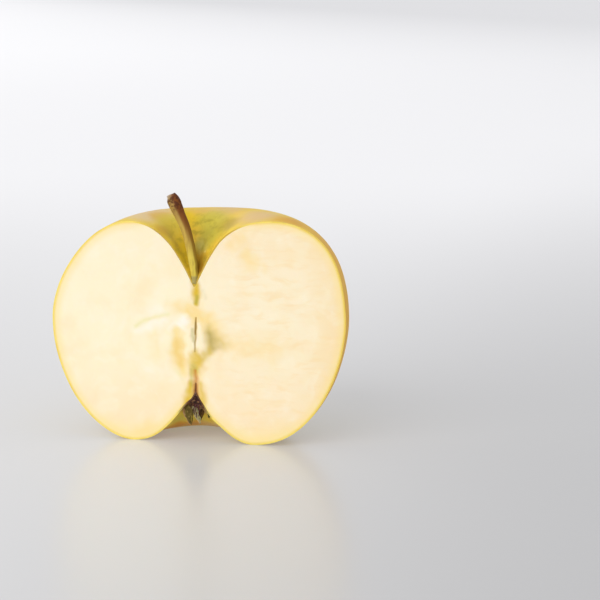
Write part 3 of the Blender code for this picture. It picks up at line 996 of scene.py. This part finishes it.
def build_apple_half(flesh, skin, skin_edge):
    """One closed mesh: the skin's meridians, and the cut face in rings from the rim inwards."""
    points = skin_points()
    last_row = points.shape[1] - 1
    pit, eye = 0, 1
    index = np.zeros(points.shape[:2], dtype=int)
    index[:, 0] = pit
    index[:, last_row] = eye
    inner = points[:, 1:last_row].reshape(-1, 3)
    index[:, 1:last_row] = np.arange(len(inner)).reshape(len(points), -1) + 2
    skin_verts = np.concatenate((points[:1, 0], points[:1, last_row], inner))

    faces = []
    slots = []
    for turn in range(MERIDIAN_STEPS):
        for row in range(last_row):
            here, next_turn = index[turn, row : row + 2], index[turn + 1, row : row + 2]
            faces.append(list(dict.fromkeys((*here, *next_turn[::-1]))))
            slots.append(1)

    outline = list(index[0]) + list(index[-1, 1:last_row][::-1])
    loop = skin_verts[outline][:, (0, 2)]
    starts, ways = face_rays(loop, (0, last_row))
    rings = cut_face_rings(loop[starts], ways)
    places = np.concatenate(rings)
    level = np.insert(places, 1, 0.0, axis=1)
    shares = tissue_shares(places, level)
    depth = face_depth(level, shares)
    face_verts = np.stack((places[:, 0], depth, places[:, 1]), axis=-1)
    verts = np.concatenate((skin_verts, face_verts))

    outer = [outline[start] for start in starts]
    first = len(skin_verts)
    for ring_number, ring in enumerate(rings):
        inner_ring = [first + place for place in range(len(ring))]
        if len(ring) == 1:
            inner_ring *= len(outer)
        for place in range(len(outer)):
            after = (place + 1) % len(outer)
            corners = (outer[place], inner_ring[place], inner_ring[after], outer[after])
            faces.append(list(dict.fromkeys(corners)))
            slots.append(2 if ring_number == 0 else 0)
        outer = inner_ring
        first += len(ring)

    rim = kdtree.KDTree(len(loop))
    for number, (x, z) in enumerate(loop):
        rim.insert((x, 0.0, z), number)
    rim.balance()
    under_skin = [0.0] * len(skin_verts) + [rim.find((x, 0.0, z))[2] for x, z in places]

    piece = mesh_piece("dressed_apple_half", verts, faces, (flesh, skin, skin_edge), slots)
    store(piece, "under_skin", under_skin)
    for name, share in shares.items():
        store(piece, name, np.concatenate((np.zeros(len(skin_verts)), share)))
    rim_edges = {frozenset(pair) for pair in zip(outline, outline[1:] + outline[:1])}
    for edge in piece.data.edges:
        edge.use_edge_sharp = frozenset(edge.vertices) in rim_edges
    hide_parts("apple_half")


def tube_mesh(name, stations, roundness, steps):
    """Corners and faces of a closed tube through places and radii, from a bevelled curve."""
    curve = bpy.data.curves.new(name, "CURVE")
    curve.dimensions = "3D"
    curve.bevel_depth = 1.0
    curve.bevel_resolution = roundness
    curve.resolution_u = steps
    curve.use_fill_caps = True
    spline = curve.splines.new("BEZIER")
    spline.bezier_points.add(len(stations) - 1)
    for point, (x, y, z, radius) in zip(spline.bezier_points, stations):
        point.co = (x, y, z)
        point.radius = radius
        point.handle_left_type = "AUTO"
        point.handle_right_type = "AUTO"
    path = put_in_scene(name, curve)
    bpy.context.view_layer.update()
    data = bpy.data.meshes.new_from_object(path.evaluated_get(bpy.context.evaluated_depsgraph_get()))
    bpy.data.objects.remove(path, do_unlink=True)
    bpy.data.curves.remove(curve)
    builder = bmesh.new()
    builder.from_mesh(data)
    bpy.data.meshes.remove(data)
    bmesh.ops.remove_doubles(builder, verts=builder.verts[:], dist=1e-4)
    bmesh.ops.recalc_face_normals(builder, faces=builder.faces[:])
    bmesh.ops.triangulate(builder, faces=[face for face in builder.faces if len(face.verts) > 4])
    verts = np.array([tuple(vert.co) for vert in builder.verts])
    faces = [[vert.index for vert in face.verts] for face in builder.faces]
    builder.free()
    return verts, faces


def build_stem(material):
    """The stalk with ridges along it and a knobbly end, broken off aslant."""
    verts, faces = tube_mesh("stalk_path", STEM_STATIONS, STEM_ROUNDNESS, STEM_TUBE_STEPS)
    stations = np.array(STEM_STATIONS)
    axis = np.stack(
        [np.interp(verts[:, 2], stations[:, 2], stations[:, column]) for column in (0, 1, 3)],
        axis=-1,
    )
    outward = np.zeros_like(verts)
    outward[:, :2] = verts[:, :2] - axis[:, :2]
    side = np.clip(outward[:, 0] / axis[:, 2], -1.0, 1.0)
    length = np.maximum(np.linalg.norm(outward, axis=-1, keepdims=True), 1e-6)
    outward /= length

    drawn_out = verts * np.array((1.0, 1.0, STEM_RIDGE_STRETCH))
    ridges = STEM_RIDGE_HEIGHT * noise_field(drawn_out, STEM_RIDGE_LENGTH)
    knob_share = np.clip((verts[:, 2] - STEM_KNOB_START) / STEM_KNOB_RUN, 0.0, 1.0)
    knobs = STEM_KNOB_HEIGHT * knob_share * noise_field(verts, STEM_KNOB_LENGTH)
    warts = noise_field(verts, STEM_WART_LENGTH)
    knobs += STEM_WART_SHARE * STEM_KNOB_HEIGHT * knob_share * warts
    verts = verts + outward * (ridges + knobs)[:, None]
    broken = noise_field(verts, STEM_BREAK_LENGTH)
    verts[:, 2] += STEM_BREAK_SHARE * STEM_KNOB_HEIGHT * knob_share * broken
    sunk_root = np.interp(verts[:, 2], STEM_ROOT_HEIGHTS, STEM_ROOT_DEPTHS)
    verts[:, 1] = np.maximum(verts[:, 1], sunk_root)

    tip = np.array(STEM_STATIONS[-1][:3]) + np.array(STEM_END_SHIFT)
    piece = mesh_piece("dressed_stem", verts, faces, (material,))
    store(piece, "right_side", side)
    store(piece, "broken_end", 1.0 - np.linalg.norm(verts - tip, axis=-1) / STEM_END_REACH)
    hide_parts("stem")


def sepal_half_width(along):
    """Half the width of a sepal against its width: a broad root, a belly and a pointed tip."""
    belly = np.sin(math.pi * along**SEPAL_BELLY_POWER)
    width = SEPAL_ROOT_SHARE + (1.0 - SEPAL_ROOT_SHARE) * belly
    return 0.5 * width * (1.0 - SEPAL_TAPER * along)


def build_sepal(number, place, material):
    """A small dried leaf with rippled, torn edges that hangs from the rim of the calyx tube."""
    root, length, width, degrees, lean, sway, curl = place
    across, along = np.meshgrid(
        np.linspace(-1.0, 1.0, SEPAL_COLUMNS), np.linspace(0.0, 1.0, SEPAL_ROWS), indexing="ij"
    )
    half_width = sepal_half_width(along) * width
    outward = length * (lean * along + curl * along**2) - SEPAL_CUP * half_width * across**2
    aside = length * sway * along + half_width * across
    leaf = np.stack((outward, aside, -length * along), axis=-1)
    seed = np.array((SEPAL_NOISE_STEP * number, 0.0, 0.0))
    out_length, aside_length, down_length = SEPAL_RIPPLE_LENGTHS
    leaf[..., 0] += SEPAL_RIPPLE * np.abs(across) * noise_field(leaf + seed, out_length)
    leaf[..., 1] += SEPAL_RIPPLE * noise_field(leaf + 2 * seed, aside_length)
    leaf[..., 2] += SEPAL_RIPPLE * along * noise_field(leaf + 3 * seed, down_length)
    angle = math.radians(degrees)
    turn = np.array(Matrix.Rotation(angle, 3, "Z"))
    verts = leaf.reshape(-1, 3) @ turn.T + np.array(root)
    faces = []
    for column in range(SEPAL_COLUMNS - 1):
        for row in range(SEPAL_ROWS - 1):
            middle = (across[column, row] + across[column + 1, row]) / 2
            torn = any(
                abs(middle - tear) < 1.0 / (SEPAL_COLUMNS - 1) and along[column, row] > start
                for tear, start in SEPAL_TEARS[number]
            )
            if torn:
                continue
            corner = column * SEPAL_ROWS + row
            faces.append([corner, corner + SEPAL_ROWS, corner + SEPAL_ROWS + 1, corner + 1])
    piece = mesh_piece(f"dressed_sepal_{number}", verts, faces, (material,))
    store(piece, "left_edge", -across.ravel())
    thickness = piece.modifiers.new("leaf thickness", "SOLIDIFY")
    thickness.thickness = SEPAL_THICKNESS * METRES_PER_MM
    thickness.offset = 0.0
    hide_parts(f"sepal_{number}")


def build_stamen(number, place, material):
    """A dried thread that wavers as it goes down."""
    degrees, top_distance, bottom_distance, length = place
    angle = math.radians(degrees)
    stations = []
    for share in STAMEN_STOPS:
        distance = top_distance + (bottom_distance - top_distance) * share**2
        waver = STAMEN_WOBBLE * math.sin(STAMEN_WAVES * share + number) * share
        x = distance * math.cos(angle) + waver
        y = distance * math.sin(angle) + 0.5 * waver
        radius = STAMEN_RADIUS * (1.0 - STAMEN_TAPER * share)
        stations.append((x, y, STAMEN_TOP - length * share, radius))
    verts, faces = tube_mesh("thread_path", stations, STAMEN_ROUNDNESS, STAMEN_TUBE_STEPS)
    piece = mesh_piece(f"dressed_stamen_{number}", verts, faces, (material,))
    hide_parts(f"stamen_{number}")


def table_material():
    """White acrylic table, satin and lit from below: soft mirror images and hardly any shadow.

    It is light grey near the object and whiter towards the back and the left, which is painted light. A
    darker patch on the right near the front is a painted shadow.
    """
    values = {"Emission Strength": TABLE_GLOW, "Roughness": 0.26, "Specular IOR Level": 0.75}
    material, tree, shader, colour = new_material("white acrylic, satin", "#A4A4A5", values)
    place = add_node(tree, "TexCoord").outputs["Object"]
    sides = add_node(tree, "SeparateXYZ", links={"Vector": place}).outputs
    # Painted light: the table gets lighter towards the left and towards the back.
    colour = stained(
        colour,
        ("#B9B9BA", 1.0, (sides["X"], 0.10, -0.06)),
        ("#D0D0D2", 1.0, (sides["Y"], -0.05, 0.6)),
        ("#DADADC", 1.0, (sides["Y"], 0.2, 2.6)),
    )
    shift = add_node(
        tree, "Math", operation="MULTIPLY_ADD", inputs={1: 0.42}, links={0: sides["Y"], 2: sides["X"]}
    )
    colour = stained(
        colour,
        # Painted light: greyer again far off towards the back right.
        ("#ABABAE", 0.9, (shift.outputs["Value"], -0.4, 2.4)),
        # Painted shadow: a darker patch on the right, near the front.
        ("#8E8E90", 0.6, (sides["X"], 0.02, 0.22), (sides["Y"], 0.9, 0.0)),
    )
    fibres = add_node(tree, "TexNoise", inputs={"Scale": 900.0, "Detail": 2.0}, links={"Vector": place})
    tree.links.new(colour, shader.inputs["Base Color"])
    roughened(tree, shader, fibres.outputs["Fac"], 0.05, 0.05)
    tree.links.new(colour, shader.inputs["Emission Color"])
    material.cycles.emission_sampling = "NONE"
    return material


def build_stage():
    data = bpy.data.meshes.new("floor")
    half = TABLE_HALF
    corners = [(-half, -half, 0), (half, -half, 0), (half, half, 0), (-half, half, 0)]
    data.from_pydata(corners, [], [(0, 1, 2, 3)])
    data.materials.append(table_material())
    put_in_scene("floor", data)


def build_lights():
    """Soft studio light: a bright room, and one large diffuser low on the front left."""
    light = bpy.data.lights.new("front_left_diffuser", "SUN")
    light.energy = DIFFUSER_STRENGTH
    light.angle = math.radians(DIFFUSER_WIDTH)
    light.color = linear("#FFFEFA")[:3]
    lamp = put_in_scene("front_left_diffuser", light)
    from_left = math.radians(DIFFUSER_FROM_LEFT)
    height = math.radians(DIFFUSER_HEIGHT)
    level = math.cos(height)
    way = Vector((math.sin(from_left) * level, math.cos(from_left) * level, -math.sin(height)))
    lamp.rotation_euler = way.to_track_quat("-Z", "Y").to_euler()
    world = bpy.data.worlds.new("studio room")
    bpy.context.scene.world = world
    world.use_nodes = True
    room = world.node_tree.nodes["Background"]
    room.inputs["Color"].default_value = linear("#FBFBFD")
    room.inputs["Strength"].default_value = ROOM_STRENGTH


def build_camera():
    azimuth = math.radians(VIEW_AZIMUTH)
    elevation = math.radians(VIEW_ELEVATION)
    level = math.cos(elevation)
    back = Vector((math.sin(azimuth) * level, -math.cos(azimuth) * level, math.sin(elevation)))
    right = Vector((math.cos(azimuth), math.sin(azimuth), 0.0))
    up = right.cross(-back)
    middle = Vector(CORE_MIDDLE) + Vector(CORE_PLACE)
    stand = middle + back * VIEW_DISTANCE
    aim = middle + right * AIM_RIGHT + up * AIM_UP
    camera = bpy.data.cameras.new("camera")
    camera.lens = LENS_LENGTH
    camera.sensor_width = SENSOR_WIDTH
    camera.clip_start = 0.01
    camera.clip_end = 100.0
    holder = put_in_scene("camera", camera)
    holder.location = stand * METRES_PER_MM
    holder.rotation_euler = (aim - stand).to_track_quat("-Z", "Y").to_euler()
    bpy.context.scene.camera = holder


def build():
    build_camera()
    build_apple_half(flesh_material(), skin_material(), skin_edge_material())
    build_stem(stem_material())
    for number, (place, looks) in enumerate(zip(SEPALS, SEPAL_LOOKS), start=1):
        build_sepal(number, place, dried_sepal_material(*looks))
    thread = dried_stamen_material()
    for number, place in enumerate(STAMENS, start=1):
        build_stamen(number, place, thread)
    build_stage()
    build_lights()
    bpy.context.scene.view_settings.view_transform = "Standard"


build()
